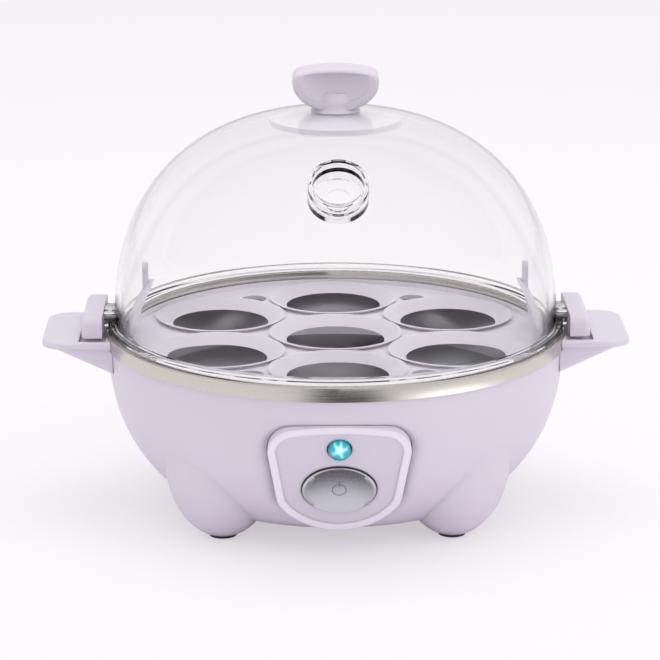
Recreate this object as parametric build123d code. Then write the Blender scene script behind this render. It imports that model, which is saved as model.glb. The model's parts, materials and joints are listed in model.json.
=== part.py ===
from build123d import *
import math
import os

# Electric egg cooker, in millimetres.
# Z is up, the front with the control panel faces -Y, the carrying handles point along X.
# The origin lies on the floor, under the centre of the bowl.

# Clearances
FIT = 0.25  # between pieces that are assembled and stay together
RUN = 0.3  # between pieces that lift off or slide
SEAT = 0.05  # between faces of one body that lie on each other
PAST = 1.0  # how far a cut runs past the face it opens

# Bowl
bowl_radius = 79.0
bowl_depth = 66.0
bowl_power = 2.3
bowl_top = 59.0
bowl_floor = 8.0
wall = 2.4

# Feet lobes moulded into the bowl
lobe_radius = 19.5
lobe_height = 28.0
lobe_inset = 40.0
foot_bottom = 1.2

# Steel rim
rim_height = 5.0
rim_sheet = 0.8
rim_proud = 0.8
rim_width = 5.3
rim_soft = 0.48

# Carrying handles
handle_length = 22.0
handle_half_width = 21.0
handle_rise = 3.7
handle_edge = 2.2
handle_root_drop = 9.5
handle_corner = 8.0
handle_soft = 0.9
wedge_inset = 1.2
wedge_soft = 1.8
trough_half_width = 18.8
trough_depth = 2.0
trough_length = 9.2

# Ledge, gasket and heating plate
ledge_thickness = 1.6
ledge_width = 4.9
ledge_drop = 3.4
gasket_thickness = 1.0
gasket_inset = 0.3
plate_sheet = 0.8
plate_depth = 14.4
plate_skin = 0.6
plate_lip = 3.5

# Heater below the plate
spreader_gap = 0.75
spreader_thickness = 2.0
heater_inset = 12.0
heater_tube = 3.2
heater_gap = 14.0
terminal_length = 12.0
terminal_radius = 1.5
terminal_spread = 1.6
thermostat_radius = 7.0
thermostat_height = 6.5
thermostat_offset = 12.0
blade_half_width = 1.5
blade_thickness = 0.8
blade_length = 5.0
blade_offset = 3.5
fuse_radius = 2.0
fuse_length = 11.0
fuse_inset = 22.0
clip_sheet = 0.8
clip_half_length = 7.0
clip_half_width = 2.0
shield_sheet = 0.6
shield_drop = 12.0
shield_tab_inset = 5.0
shield_tab_length = 3.0
shield_tab_half_width = 3.0
terminal_window = (16.0, 14.0)
panel_window = (20.0, 15.0)

# Screws, posts and sleeves
screw_radius = 2.0
screw_head_radius = 3.6
screw_head_height = 2.4
post_radius = 4.4
sleeve_length = 6.0
recess_depth = 4.6
cover_screw_radius = 1.5
cover_screw_head = 2.8
cover_screw_height = 1.6
cover_screw_length = 9.0
boss_radius = 3.4
boss_height = 9.0

# Floor opening and bottom cover
cover_gap = 0.6
cover_lap = 8.0
cover_thickness = 1.8
cover_rim = 1.0
vent_slot_length = 14.0
vent_slot_width = 2.4
vent_slot_pitch = 6.0
vent_slot_inset = 13.0
vent_slots = 5

# Rubber feet
pad_radius = 4.6
pad_height = 2.4

# Control panel, in its own tilted plane
panel_tilt = 21.0
panel_inset = 7.5
panel_drop = 28.3
panel_half_top = 24.6
panel_half_low = 20.4
panel_top_edge = 21.4
panel_top_corner = 18.4
panel_low_corner = -10.0
panel_bottom_edge = -21.8
panel_corner = 9.0
panel_face = 2.2
panel_wall = 2.0
panel_border = 2.6
panel_border_rise = 0.8
panel_border_soft = 0.35
panel_skirt = 1.5
panel_prism = 30.0

# Power button, its spring and the switch
button_half_width = 12.2
button_half_height = 9.4
button_v = -4.7
button_rise = 1.2
button_thickness = 3.0
button_soft = 0.7
button_travel = 1.8
stem_radius = 2.4
stem_length = 7.5
stem_bore = 0.08
spring_wire = 0.35
spring_radius = 3.6
spring_turns = 3
dish_radius = 75.0
dish_depth = 0.8
mark_radius = 1.9
mark_width = 0.35
mark_depth = 0.15
switch_side = 12.0
switch_corner = 1.5
switch_depth = 9.0
switch_wall = 1.2
stem_seat = 2.5
bracket_sheet = 1.6
bracket_set_back = 2.0
bracket_inset = 4.0
bracket_rim = 2.0
bracket_leg = 2.2

# Indicator
lens_radius = 3.9
lens_v = 12.0
lens_rise = 1.2
lens_soft = 0.8
lens_flange = 0.8
lamp_radius = 2.5
lamp_length = 5.0

# Board and buzzer, carried by the bottom cover
board_length = 26.0
board_width = 20.0
board_thickness = 1.6
board_margin = 3.0
standoff_radius = 2.6
standoff_height = 5.0
buzzer_radius = 5.0
buzzer_height = 6.0
buzzer_x = 6.5
block_width = 8.0
block_height = 6.0

# Cord inlet
gland_radius = 5.0
gland_bore = 3.2
gland_flange = 7.5
gland_flange_thickness = 2.0
gland_length = 10.0
gland_nut = 3.4
gland_drop = 29.0

# Lid
flange_setback = 0.8
flange_width = 2.3
flange_thickness = 2.0
dome_height = 74.0
dome_power = 2.35
dome_wall = 2.0
skirt_thickness = 1.2
skirt_depth = 2.2

# Steam vent in the lid
vent_angle = 39.0
vent_radius = 10.0
vent_wall = 1.5
vent_rise = 3.0
vent_depth = 8.6
vent_floor = 1.2
vent_hole = 4.25

# Knob and the disc under it
knob_height = 15.2
knob_half_width = 14.7
knob_half_depth = 6.9
knob_crown = 2.2
knob_lower = 10.2
knob_corner = 3.0
knob_soft = 1.3
neck_radius = 7.2
neck_flare = 1.3
neck_height = 3.2
scoop_lip = 3.0
scoop_top_lip = 1.2
scoop_depth = 3.2
disc_radius = 22.4
disc_thickness = 1.6
disc_drop = 6.0
disc_hub_radius = 5.0
disc_hub_height = 1.5
knob_screw_length = 14.0
knob_thread = 11.2

# Side grips on the lid
grip_gap = 0.4
grip_width = 7.1
grip_half_length = 18.0
grip_lift = 0.9
grip_height = 6.9
grip_round = 2.4
grip_end = 3.0
lug_half_width = 6.0
lug_rib = 1.3
lug_ribs = 3
lug_rise = 5.6
lug_web = 1.2
grip_pin_radius = 1.0
grip_pin_length = 8.0

# Tray
tray_rise = 3.3
tray_sheet = 1.6
tray_clearance = 0.6
deck_drop = 1.4
ring_seats = 6
seat_margin = 3.7
seat_gap = 0.6
seat_width = 6.2
seat_lip = 1.2
seat_drop = 3.0
steam_hole = 4.6
steam_inset = 15.9
steam_angles = (-120, -60, 60, 120)
ear_half_width = 17.0
ear_rise = 18.5
ear_sheet = 1.6
ear_inset = 0.6
ear_lean = 45.0
slot_half_width = 4.0
slot_low = 7.0
slot_high = 11.5
post_rise = 25.0
post_foot = 14.5
post_half_width = 2.2
post_sheet = 1.8
post_inset = 7.1
post_round = 1.9

# Levels that follow from the sizes above
rim_top = bowl_top + rim_height
handle_top = bowl_top + handle_rise
ledge_top = bowl_top - ledge_drop
gasket_top = ledge_top + gasket_thickness
flange_top = gasket_top + plate_sheet
plate_floor = flange_top - plate_depth
plate_underside = plate_floor - plate_sheet
spreader_bottom = plate_underside - spreader_thickness
heater_z = spreader_bottom - heater_tube
sleeve_bottom = plate_underside - sleeve_length
cover_top = bowl_floor
cover_bottom = cover_top - cover_thickness
board_bottom = cover_top + standoff_height
board_top = board_bottom + board_thickness
tray_bottom = flange_top + RUN
tray_top = tray_bottom + tray_rise
flange_bottom = rim_top + RUN
dome_low = flange_bottom + flange_thickness / 2
dome_top = dome_low + dome_height
knob_bottom = dome_top + 2 * SEAT
grip_bottom = handle_top + grip_lift
panel_z = bowl_top - panel_drop
gland_z = bowl_top - gland_drop

# Radii and places that follow from the sizes above
rim_radius = bowl_radius + rim_proud
rim_inner = rim_radius - rim_width
lobe_offset = bowl_radius - lobe_inset
lobe_circle = math.hypot(lobe_offset, lobe_offset)
lobe_at_floor = lobe_radius * math.sqrt(1 - (1 - bowl_floor / lobe_height) ** 2)
cover_radius = lobe_circle - lobe_at_floor - cover_gap
opening_radius = cover_radius - cover_lap
cover_screw_circle = (cover_radius + opening_radius) / 2 + FIT
plate_floor_radius = lobe_circle + post_radius + 2 * wall / 3
plate_wall_radius = rim_inner - plate_lip
plate_flange_radius = rim_inner - RUN
spreader_radius = lobe_circle - post_radius - spreader_gap
heater_radius = spreader_radius - heater_inset
shield_radius = spreader_radius - PAST
fuse_offset = heater_radius - fuse_inset
tray_radius = rim_inner - tray_clearance
seat_radius = (tray_radius - seat_margin - seat_gap) / 3
seat_circle = 2 * seat_radius + seat_gap
seat_hole = seat_radius - seat_width
steam_circle = tray_radius - steam_inset
handle_reach = bowl_radius + handle_length
panel_y = panel_inset - bowl_radius
flange_radius = rim_radius - flange_setback
dome_radius = flange_radius - flange_width
grip_inner = rim_radius + grip_gap
grip_outer = grip_inner + grip_width

SIDES = (("right", 1), ("left", -1))
CORNERS = ((1, 1), (-1, 1), (-1, -1), (1, -1))
FRONT_BACK = ((0, -1), (1, 0), (0, 1), (-1, 0))
ON_FLOOR = (Align.CENTER, Align.CENTER, Align.MIN)

os.makedirs("parts", exist_ok=True)


# Helpers
def oval_radius(drop, radius, height, power):
    """Radius of a superellipse at a distance from its widest plane."""
    share = max(0.0, 1 - (abs(drop) / height) ** power)
    return radius * share ** (1 / power)


def cylinder(radius, low, high, x=0.0, y=0.0):
    """Upright cylinder between two levels."""
    return Pos(x, y, low) * Cylinder(radius, high - low, align=ON_FLOOR)


def ring(inner, outer, low, high):
    """Upright ring between two radii and two levels."""
    return cylinder(outer, low, high) - cylinder(inner, low - PAST, high + PAST)


def block(x_low, x_high, y_low, y_high, z_low, z_high):
    """Box from its six faces."""
    size = Box(x_high - x_low, y_high - y_low, z_high - z_low, align=(Align.MIN,) * 3)
    return Pos(x_low, y_low, z_low) * size


def turned(*curves):
    """Solid of revolution about Z from curves drawn as radius and height."""
    outline = Curve() + list(curves)
    return revolve(make_face(Plane.XZ * outline), Axis.Z)


def save(shape, name):
    """Write one piece to its own file."""
    shape.label = name
    export_step(shape, f"parts/{name}.step")


# Bowl with feet lobes
def bowl_solid(inset, low):
    """Filled bowl, drawn inside the outer skin by an inset, from a level up to the rim."""
    radius = bowl_radius - inset
    depth = bowl_depth - inset
    count = 9
    levels = [low + (bowl_top - low) * i / (count - 1) for i in range(count)]
    skin = [(oval_radius(bowl_top - z, radius, depth, bowl_power), z) for z in levels]
    side = Spline(*skin)
    return turned(Polyline(skin[-1], (0, bowl_top), (0, low), skin[0]), side)


def lobe_solid(inset, low):
    """One egg-shaped lobe, cut flat at its foot."""
    lobe = Ellipse(lobe_radius - inset, lobe_height - inset)
    half = Pos(0, lobe_height) * lobe & Pos(lobe_radius, lobe_height) * Rectangle(2 * lobe_radius, 4 * lobe_height)
    solid = revolve(Plane.XZ * half, Axis.Z)
    side = 4 * lobe_radius
    return solid - block(-side, side, -side, side, -side, low)


def lobes(inset, low):
    """The four lobes at the corners of a square."""
    return [Pos(sx * lobe_offset, sy * lobe_offset, 0) * lobe_solid(inset, low) for sx, sy in CORNERS]


def sided(shape, sign):
    """The shape as drawn on the right, or its mirror image on the left."""
    return shape if sign > 0 else mirror(shape, Plane.YZ)


def handle_solid():
    """Right handle: a flat pad with a wedge below it, reaching into the bowl's skin."""
    inside = bowl_radius - wall
    low = handle_top - handle_edge
    pad = block(inside, handle_reach, -handle_half_width, handle_half_width, low, handle_top)
    tips = pad.edges().filter_by(Axis.Z).sort_by(Axis.X)[-2:]
    pad = fillet(tips, handle_corner)
    rims = pad.edges().filter_by(lambda e: e.center().Z > handle_top - SEAT and e.center().X > inside + PAST)
    pad = fillet(rims, handle_soft)
    tip_x = handle_reach - handle_corner / 2
    outline = Polyline((inside, low), (tip_x, low), (inside, low - handle_root_drop), close=True)
    width = handle_half_width - wedge_inset
    wedge = Pos(0, width, 0) * extrude(make_face(Plane.XZ * outline), 2 * width, dir=(0, -1, 0))
    keel = wedge.edges().filter_by(lambda e: e.center().Z < low - PAST and abs(e.center().Y) > width - SEAT
                                   and e.center().X > inside + PAST)
    wedge = fillet(keel, wedge_soft)
    solid = pad + wedge
    solid -= cylinder(bowl_radius - wall / 2, 0, bowl_top)
    return solid - cylinder(rim_radius + SEAT, bowl_top - SEAT, rim_top + rim_height)


def handle_trough():
    """Shallow space under the right lid grip, where fingertips reach below it."""
    return block(bowl_radius, bowl_radius + trough_length, -trough_half_width, trough_half_width,
                 handle_top - trough_depth, handle_top + trough_depth)


# Control panel geometry
PANEL = Plane(
    origin=(0, panel_y, panel_z),
    x_dir=(1, 0, 0),
    z_dir=(0, -math.cos(math.radians(panel_tilt)), -math.sin(math.radians(panel_tilt))),
)


def shield(grow):
    """Shield outline of the panel, grown outwards by a distance."""
    top = ThreePointArc((-panel_half_top, panel_top_corner), (0, panel_top_edge), (panel_half_top, panel_top_corner))
    right = Line((panel_half_top, panel_top_corner), (panel_half_low, panel_low_corner))
    low = ThreePointArc((panel_half_low, panel_low_corner), (0, panel_bottom_edge), (-panel_half_low, panel_low_corner))
    left = Line((-panel_half_low, panel_low_corner), (-panel_half_top, panel_top_corner))
    face = make_face(Curve() + [top, right, low, left])
    face = fillet(face.vertices(), panel_corner)
    return offset(face, grow) if grow else face


def on_panel(sketch, depth_low, depth_high):
    """Sketch of the panel's plane as a solid between two depths behind the face."""
    lifted = PANEL * (Pos(0, 0, -depth_high) * sketch)
    return extrude(lifted, depth_high - depth_low, dir=PANEL.z_dir)


def on_level(edge, rise):
    """Whether an edge lies at a height in front of the panel's face."""
    return abs(PANEL.to_local_coords(edge.center()).Z - rise) < SEAT


def below_ledge(solid):
    """The share of a solid that stays under the heating plate's ledge."""
    limit = ledge_top - ledge_thickness - FIT
    side = 2 * bowl_radius
    return solid - block(-side, side, -side, side, limit, limit + side)


# Base shell
def make_body_shell():
    outer = bowl_solid(0, bowl_floor)
    for lobe in lobes(0, foot_bottom):
        outer += lobe
    hollow = bowl_solid(wall, bowl_floor + wall)
    for lobe in lobes(wall, foot_bottom + recess_depth + wall):
        hollow += lobe
    shell = outer - hollow
    shell -= cylinder(opening_radius, bowl_floor - PAST, bowl_floor + wall + PAST)
    ledge_outer = oval_radius(bowl_top - ledge_top, bowl_radius, bowl_depth, bowl_power) - wall / 2
    shell += ring(bowl_radius - wall - ledge_width, ledge_outer, ledge_top - ledge_thickness, ledge_top)
    neck_top = rim_top - rim_sheet - 2 * SEAT
    shell += ring(rim_inner + rim_sheet + FIT, bowl_radius - 2 * SEAT, bowl_top - PAST, neck_top)
    for _, sign in SIDES:
        shell += sided(handle_solid(), sign)
        shell -= sided(handle_trough(), sign)
    for sx, sy in CORNERS:
        x, y = sx * lobe_offset, sy * lobe_offset
        shell += cylinder(post_radius, foot_bottom + 2 * SEAT, sleeve_bottom - FIT, x, y)
        shell -= cylinder(screw_radius + FIT, foot_bottom - PAST, sleeve_bottom + PAST, x, y)
        shell -= cylinder(screw_head_radius + FIT, foot_bottom - PAST, foot_bottom + recess_depth, x, y)
    for dx, dy in FRONT_BACK:
        x, y = dx * cover_screw_circle, dy * cover_screw_circle
        shell += cylinder(boss_radius, bowl_floor, bowl_floor + boss_height, x, y)
        shell -= cylinder(cover_screw_radius + SEAT, bowl_floor - PAST, bowl_floor + boss_height - PAST, x, y)
    shell -= below_ledge(on_panel(shield(FIT), -panel_inset, panel_prism))
    shell -= Pos(0, bowl_radius, gland_z) * Rot(90, 0, 0) * Cylinder(gland_radius + FIT, bowl_radius / 2)
    return shell


def make_rim_band():
    low = flange_top + 2 * SEAT
    face = make_face(Plane.XZ * Polyline(
        (rim_radius, bowl_top), (rim_radius, rim_top), (rim_inner, rim_top), (rim_inner, low),
        (rim_inner + rim_sheet, low), (rim_inner + rim_sheet, rim_top - rim_sheet),
        (rim_radius - rim_sheet, rim_top - rim_sheet), (rim_radius - rim_sheet, bowl_top), close=True))
    band = revolve(face, Axis.Z)
    top_edges = [e for e in band.edges() if e.center().Z > rim_top - SEAT]
    return fillet(top_edges, rim_soft)


def make_heating_plate():
    skin = [
        (0, plate_floor), (plate_floor_radius, plate_floor), (plate_wall_radius, flange_top),
        (plate_flange_radius, flange_top), (plate_flange_radius, gasket_top),
        (plate_wall_radius + plate_skin, gasket_top), (plate_floor_radius + plate_skin, plate_underside),
        (0, plate_underside)]
    return turned(Polyline(*skin, close=True))


def make_control_panel():
    block_solid = on_panel(shield(0), 0, panel_prism)
    hollow = on_panel(shield(-panel_wall), panel_face, panel_prism)
    border = on_panel(shield(0), -panel_border_rise, 0)
    border -= on_panel(shield(-panel_border), -panel_border_rise - PAST, 0)
    panel = below_ledge(block_solid - hollow) - bowl_solid(wall + panel_skirt, bowl_floor - foot_bottom)
    panel += border
    rims = [e for e in panel.edges() if on_level(e, panel_border_rise)]
    panel = fillet(rims, panel_border_soft)
    button_hole = Pos(0, button_v) * Ellipse(button_half_width + RUN, button_half_height + RUN)
    panel -= on_panel(button_hole, -button_rise - PAST, panel_face + PAST)
    panel -= on_panel(Pos(0, lens_v) * Circle(lens_radius + FIT), -lens_rise - PAST, panel_face + PAST)
    return panel


# Switch group, built along the panel's inward normal
button_back = button_thickness - button_rise
switch_front = button_back + stem_length - stem_seat
carrier_front = switch_front + bracket_set_back


def make_power_button():
    outline = Pos(0, button_v) * Ellipse(button_half_width, button_half_height)
    cap = on_panel(outline, -button_rise, button_back)
    front = [e for e in cap.edges() if on_level(e, button_rise)]
    cap = fillet(front, button_soft)
    dish = Pos(0, button_v, button_rise + dish_radius - dish_depth) * Sphere(dish_radius)
    cap -= PANEL * dish
    mark = Circle(mark_radius) - Circle(mark_radius - mark_width)
    mark -= Pos(0, mark_radius) * Rectangle(mark_radius - mark_width, mark_radius)
    mark += Pos(0, mark_radius - mark_width) * Rectangle(mark_width, mark_radius + mark_width)
    cap -= on_panel(Pos(0, button_v) * mark, -button_rise - PAST, -button_rise + dish_depth + mark_depth)
    stem = Pos(0, button_v) * Circle(stem_radius)
    cap += on_panel(stem, button_back - mark_width, button_back + stem_length)
    return cap


def make_switch_body():
    outside = Pos(0, button_v) * RectangleRounded(switch_side, switch_side, switch_corner)
    inside = Pos(0, button_v) * Rectangle(switch_side - 2 * switch_wall, switch_side - 2 * switch_wall)
    bore = Pos(0, button_v) * Circle(stem_radius + stem_bore)
    solid = on_panel(outside, switch_front, switch_front + switch_depth)
    solid -= on_panel(inside, switch_front + switch_wall, switch_front + switch_depth - switch_wall)
    return solid - on_panel(bore, switch_front - PAST, switch_front + switch_wall + PAST)


def make_button_spring():
    length = switch_front - button_back - 2 * RUN - spring_wire * 2
    centre = PANEL * Pos(0, button_v, -(button_back + RUN + spring_wire + length))
    turns = Helix(length / spring_turns, length, spring_radius)
    start = turns @ 0
    circle = Plane(origin=start, z_dir=turns % 0) * Circle(spring_wire)
    return centre * sweep(circle, path=turns)


def make_switch_bracket():
    """Flat carrier that holds the switch and the lamp behind the panel."""
    plate = Pos(0, button_v) * Rectangle(2 * (panel_half_low - bracket_inset), switch_side + 2 * bracket_rim)
    side = switch_side + 2 * SEAT
    hole = Pos(0, button_v) * RectangleRounded(side, side, switch_corner)
    back = carrier_front + bracket_sheet
    carrier = on_panel(plate, carrier_front, back) - on_panel(hole, carrier_front - PAST, back + PAST)
    for side in (1, -1):
        leg = Pos(side * (panel_half_low - bracket_inset - bracket_rim), button_v) * Circle(bracket_leg)
        carrier += on_panel(leg, panel_face + SEAT, carrier_front + bracket_sheet / 2)
    return carrier


def make_lens():
    outline = Pos(0, lens_v) * Circle(lens_radius)
    lens = on_panel(outline, -lens_rise, panel_face)
    rim = Pos(0, lens_v) * Circle(lens_radius + lens_flange)
    lens += on_panel(rim, panel_face + SEAT, panel_face + SEAT + lens_flange)
    lens += on_panel(outline, panel_face - SEAT, panel_face + lens_flange)
    front = [e for e in lens.edges() if on_level(e, lens_rise)]
    return fillet(front, lens_soft)


def make_lamp():
    outline = Pos(0, lens_v) * Circle(lamp_radius)
    front = panel_face + lens_flange + 2 * SEAT
    return on_panel(outline, front, front + lamp_length)


# Heater group
def make_heating_element():
    tube = Pos(0, 0, heater_z) * Torus(heater_radius, heater_tube)
    half = heater_gap / 2
    reach = heater_radius + 2 * heater_tube
    tube -= block(-half, half, 0, reach, heater_z - 2 * heater_tube, heater_z + 2 * heater_tube)
    for side in (1, -1):
        y = math.sqrt(heater_radius ** 2 - half ** 2)
        tube += cylinder(terminal_radius, heater_z - terminal_length, heater_z, side * (half + terminal_spread), y)
    return tube


def make_heat_shield():
    low = heater_z - heater_tube - shield_drop
    above = low + shield_sheet + PAST
    shield_disc = cylinder(shield_radius, low, low + shield_sheet)
    half, deep = terminal_window
    shield_disc -= block(-half, half, heater_radius - deep, shield_radius + PAST, low - PAST, above)
    half, deep = panel_window
    shield_disc -= block(-half, half, -shield_radius - PAST, deep - shield_radius, low - PAST, above)
    x_low = heater_radius + shield_tab_inset
    width = shield_tab_half_width
    for angle in (0, 180):
        tab = block(x_low, x_low + shield_tab_length, -width, width, low, spreader_bottom)
        shield_disc += Rot(0, 0, angle) * tab
    return shield_disc


def make_thermostat():
    top = spreader_bottom - 2 * SEAT
    low = top - thermostat_height
    can = cylinder(thermostat_radius, low, top, thermostat_offset, 0)
    for side in (1, -1):
        y = side * blade_offset
        can += block(thermostat_offset - blade_half_width, thermostat_offset + blade_half_width,
                     y - blade_thickness / 2, y + blade_thickness / 2, low - blade_length, low)
    return can


def make_thermal_fuse():
    level = spreader_bottom - 2 * SEAT - fuse_radius
    return Pos(-fuse_offset, 0, level) * Rot(90, 0, 0) * Cylinder(fuse_radius, fuse_length)


def make_fuse_clip():
    top = spreader_bottom
    inner = fuse_radius + SEAT
    outer = inner + clip_sheet
    under = top - 2 * fuse_radius - 3 * SEAT
    width = clip_half_width
    clip = block(-fuse_offset - clip_half_length, clip_half_length - fuse_offset, -width, width, top - clip_sheet, top)
    clip += block(-fuse_offset - outer, outer - fuse_offset, -width, width, under - clip_sheet, top)
    return clip - block(-fuse_offset - inner, inner - fuse_offset, -width - PAST, width + PAST, under, top + PAST)


# Lid
def dome_solid(inset, low):
    """Filled dome, drawn inside the outer skin by an inset."""
    radius = dome_radius - inset
    height = dome_height - inset
    count = 15
    angles = [math.pi / 2 * i / (count - 1) for i in range(count)]
    skin = [(radius * math.cos(a) ** (2 / dome_power) if i < count - 1 else 0.0,
             dome_low + height * math.sin(a) ** (2 / dome_power)) for i, a in enumerate(angles)]
    curve = Spline(*skin, tangents=((0, 1), (-1, 0)))
    return turned(Polyline(skin[-1], (0, low), (radius, low), skin[0]), curve)



def vent_plane():
    """Plane at the dome's skin where its normal leans forward by the vent's angle."""
    lean = math.tan(math.radians(vent_angle))
    slope = (lean * (dome_radius / dome_height) ** dome_power) ** (1 / (dome_power - 1))
    share = 1 + (slope * dome_height / dome_radius) ** dome_power
    rise = dome_height / share ** (1 / dome_power)
    normal = (0, -math.sin(math.radians(vent_angle)), math.cos(math.radians(vent_angle)))
    return Plane(origin=(0, -slope * rise, dome_low + rise), x_dir=(1, 0, 0), z_dir=normal)


def lug():
    """Clear ribs on a web, which carry the right grip."""
    inside = dome_radius - dome_wall / 2
    pitch = (lug_rise - lug_rib) / (lug_ribs - 1)
    solid = block(inside, grip_inner, -lug_web, lug_web, flange_bottom, flange_bottom + lug_rise)
    for i in range(lug_ribs):
        low = flange_bottom + i * pitch
        solid += block(inside, grip_inner, -lug_half_width, lug_half_width, low, low + lug_rib)
    return solid


def make_lid_dome():
    dome = dome_solid(0, flange_bottom)
    dome += cylinder(flange_radius, flange_bottom, flange_bottom + flange_thickness)
    dome -= dome_solid(dome_wall, flange_bottom - PAST)
    skirt_radius = rim_inner - RUN
    skirt_inner = skirt_radius - skirt_thickness
    dome += ring(skirt_inner, dome_radius, flange_bottom, flange_bottom + flange_thickness)
    dome += ring(skirt_inner, skirt_radius, flange_bottom - skirt_depth, flange_bottom + flange_thickness / 2)
    vent = vent_plane()
    floor = vent_rise - vent_depth
    dome += vent * Pos(0, 0, floor - vent_floor) * Cylinder(vent_radius, vent_depth + vent_floor, align=ON_FLOOR)
    dome -= vent * Pos(0, 0, floor) * Cylinder(vent_radius - vent_wall, vent_depth + PAST, align=ON_FLOOR)
    dome -= vent * Pos(0, 0, floor - vent_floor - PAST) * Cylinder(vent_hole, vent_depth, align=ON_FLOOR)
    dome -= cylinder(screw_radius + FIT, dome_top - disc_drop, dome_top + disc_drop)
    for _, sign in SIDES:
        dome += sided(lug(), sign)
        dome -= sided(grip_pin(SEAT), sign)
    return dome


def grip_pin(extra):
    """Pin along X from the right lug into its grip, or its hole."""
    level = flange_bottom + lug_rise / 2
    return Pos(grip_inner, 0, level) * Rot(0, 90, 0) * Cylinder(grip_pin_radius + extra, grip_pin_length)


def make_lid_grip():
    """Right side grip: a rounded bar along Y above the handle."""
    top = grip_bottom + grip_height
    grip = block(grip_inner, grip_outer, -grip_half_length, grip_half_length, grip_bottom, top)
    grip = fillet(grip.edges().filter_by(Axis.X).sort_by(Axis.Z)[-2:], grip_end)
    crown = grip.edges().filter_by(lambda e: e.center().Z > grip_bottom + SEAT and abs(e.center().X - grip_outer) < SEAT)
    grip = fillet(crown, grip_round)
    return grip - grip_pin(SEAT / 2)


def knob_outline(inset, top_inset):
    """Front view of the grip: a half ellipse under a low crown."""
    widest = knob_bottom + knob_lower + 2 * SEAT
    half = knob_half_width - inset
    drop = knob_lower - inset
    below = Pos(0, widest - drop) * Rectangle(4 * half, 2 * drop)
    low = Pos(0, widest) * Ellipse(half, drop) & below
    shoulder = knob_bottom + knob_height - knob_crown
    crown = ThreePointArc((half, shoulder), (0, shoulder + knob_crown - top_inset), (-half, shoulder))
    sides = Polyline((-half, shoulder), (-half, widest), (half, widest), (half, shoulder))
    face = low + make_face(Curve() + [crown, sides])
    return fillet(face.vertices().group_by(Axis.Y)[-1], knob_corner - inset / 2)


def make_knob():
    body = extrude(Plane.XZ * knob_outline(0, 0), knob_half_depth, both=True)
    edges = body.edges().filter_by(lambda e: abs(abs(e.center().Y) - knob_half_depth) < SEAT)
    body = fillet(edges, knob_soft)
    level = knob_bottom + knob_lower
    rim = knob_half_width - scoop_lip
    ball = (rim ** 2 + scoop_depth ** 2) / (2 * scoop_depth)
    pocket = knob_outline(scoop_lip, scoop_top_lip)
    for side in (1, -1):
        prism = extrude(Plane.XZ * pocket, side * -2 * knob_half_depth)
        place = Pos(0, side * (knob_half_depth - scoop_depth + ball), level)
        body -= place * Sphere(ball) & prism
    foot_radius = neck_radius + neck_flare
    flare_top = (neck_radius, knob_bottom + neck_height)
    flare = Spline((foot_radius, knob_bottom), flare_top, tangents=((-1, 1), (0, 1)))
    stalk_top = knob_bottom + 2 * neck_height
    rest = Polyline(flare_top, (neck_radius - neck_flare, stalk_top), (0, stalk_top), (0, knob_bottom),
                    (foot_radius, knob_bottom))
    stalk = turned(flare, rest)
    return body + stalk - cylinder(screw_radius, knob_bottom - PAST, knob_bottom + knob_thread)


def make_knob_disc():
    under = dome_wall + 2 * SEAT
    cap = dome_solid(under, dome_low - PAST) - dome_solid(under + disc_thickness, dome_low - 2 * PAST)
    cap &= cylinder(disc_radius, dome_top - under - disc_drop, dome_top)
    hub_top = dome_top - under - disc_thickness / 2
    cap += cylinder(disc_hub_radius, dome_top - under - disc_thickness - disc_hub_height, hub_top)
    return cap - cylinder(screw_radius + FIT, dome_low, dome_top + PAST)


def make_knob_screw():
    head_top = dome_top - dome_wall - 2 * SEAT - disc_thickness - disc_hub_height
    screw = cylinder(screw_head_radius, head_top - screw_head_height, head_top)
    return screw + cylinder(screw_radius - SEAT / 2, head_top - SEAT, head_top + knob_screw_length)


# Tray
def seat_centres():
    """One seat in the middle and a ring of seats round it."""
    step = 2 * math.pi / ring_seats
    ring_places = [(seat_circle * math.sin(i * step), -seat_circle * math.cos(i * step)) for i in range(ring_seats)]
    return [(0, 0)] + ring_places


def make_tray():
    deck_top = tray_top - deck_drop
    seat_low = tray_top - seat_drop
    tray = cylinder(tray_radius, deck_top - tray_sheet, deck_top)
    tray += ring(tray_radius - tray_sheet, tray_radius, tray_bottom, tray_top)
    inside = cylinder(tray_radius, tray_bottom, tray_top)
    for x, y in seat_centres():
        saucer = Cone(seat_hole + tray_sheet, seat_radius, seat_drop, align=ON_FLOOR)
        tray += Pos(x, y, seat_low) * saucer & inside
    for x, y in seat_centres():
        hollow = Cone(seat_hole, seat_radius - seat_lip, seat_drop + 2 * SEAT, align=ON_FLOOR)
        tray -= Pos(x, y, seat_low - SEAT) * hollow
        tray -= cylinder(seat_hole, tray_bottom - PAST, tray_top, x, y)
    for degrees in steam_angles:
        angle = math.radians(degrees)
        x, y = steam_circle * math.cos(angle), steam_circle * math.sin(angle)
        tray -= cylinder(steam_hole, tray_bottom - PAST, tray_top + PAST, x, y)
    for _, sign in SIDES:
        tray += sided(tray_ear(), sign)
    return tray


def ear_skin(radius):
    """Filled shell of revolution that leans inwards as it rises from the tray."""
    foot = tray_top - seat_drop
    quarter = Ellipse(radius, ear_lean) & Pos(radius / 2, ear_lean / 2) * Rectangle(radius, ear_lean)
    return revolve(Plane.XZ * (Pos(0, foot) * quarter), Axis.Z)


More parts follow.
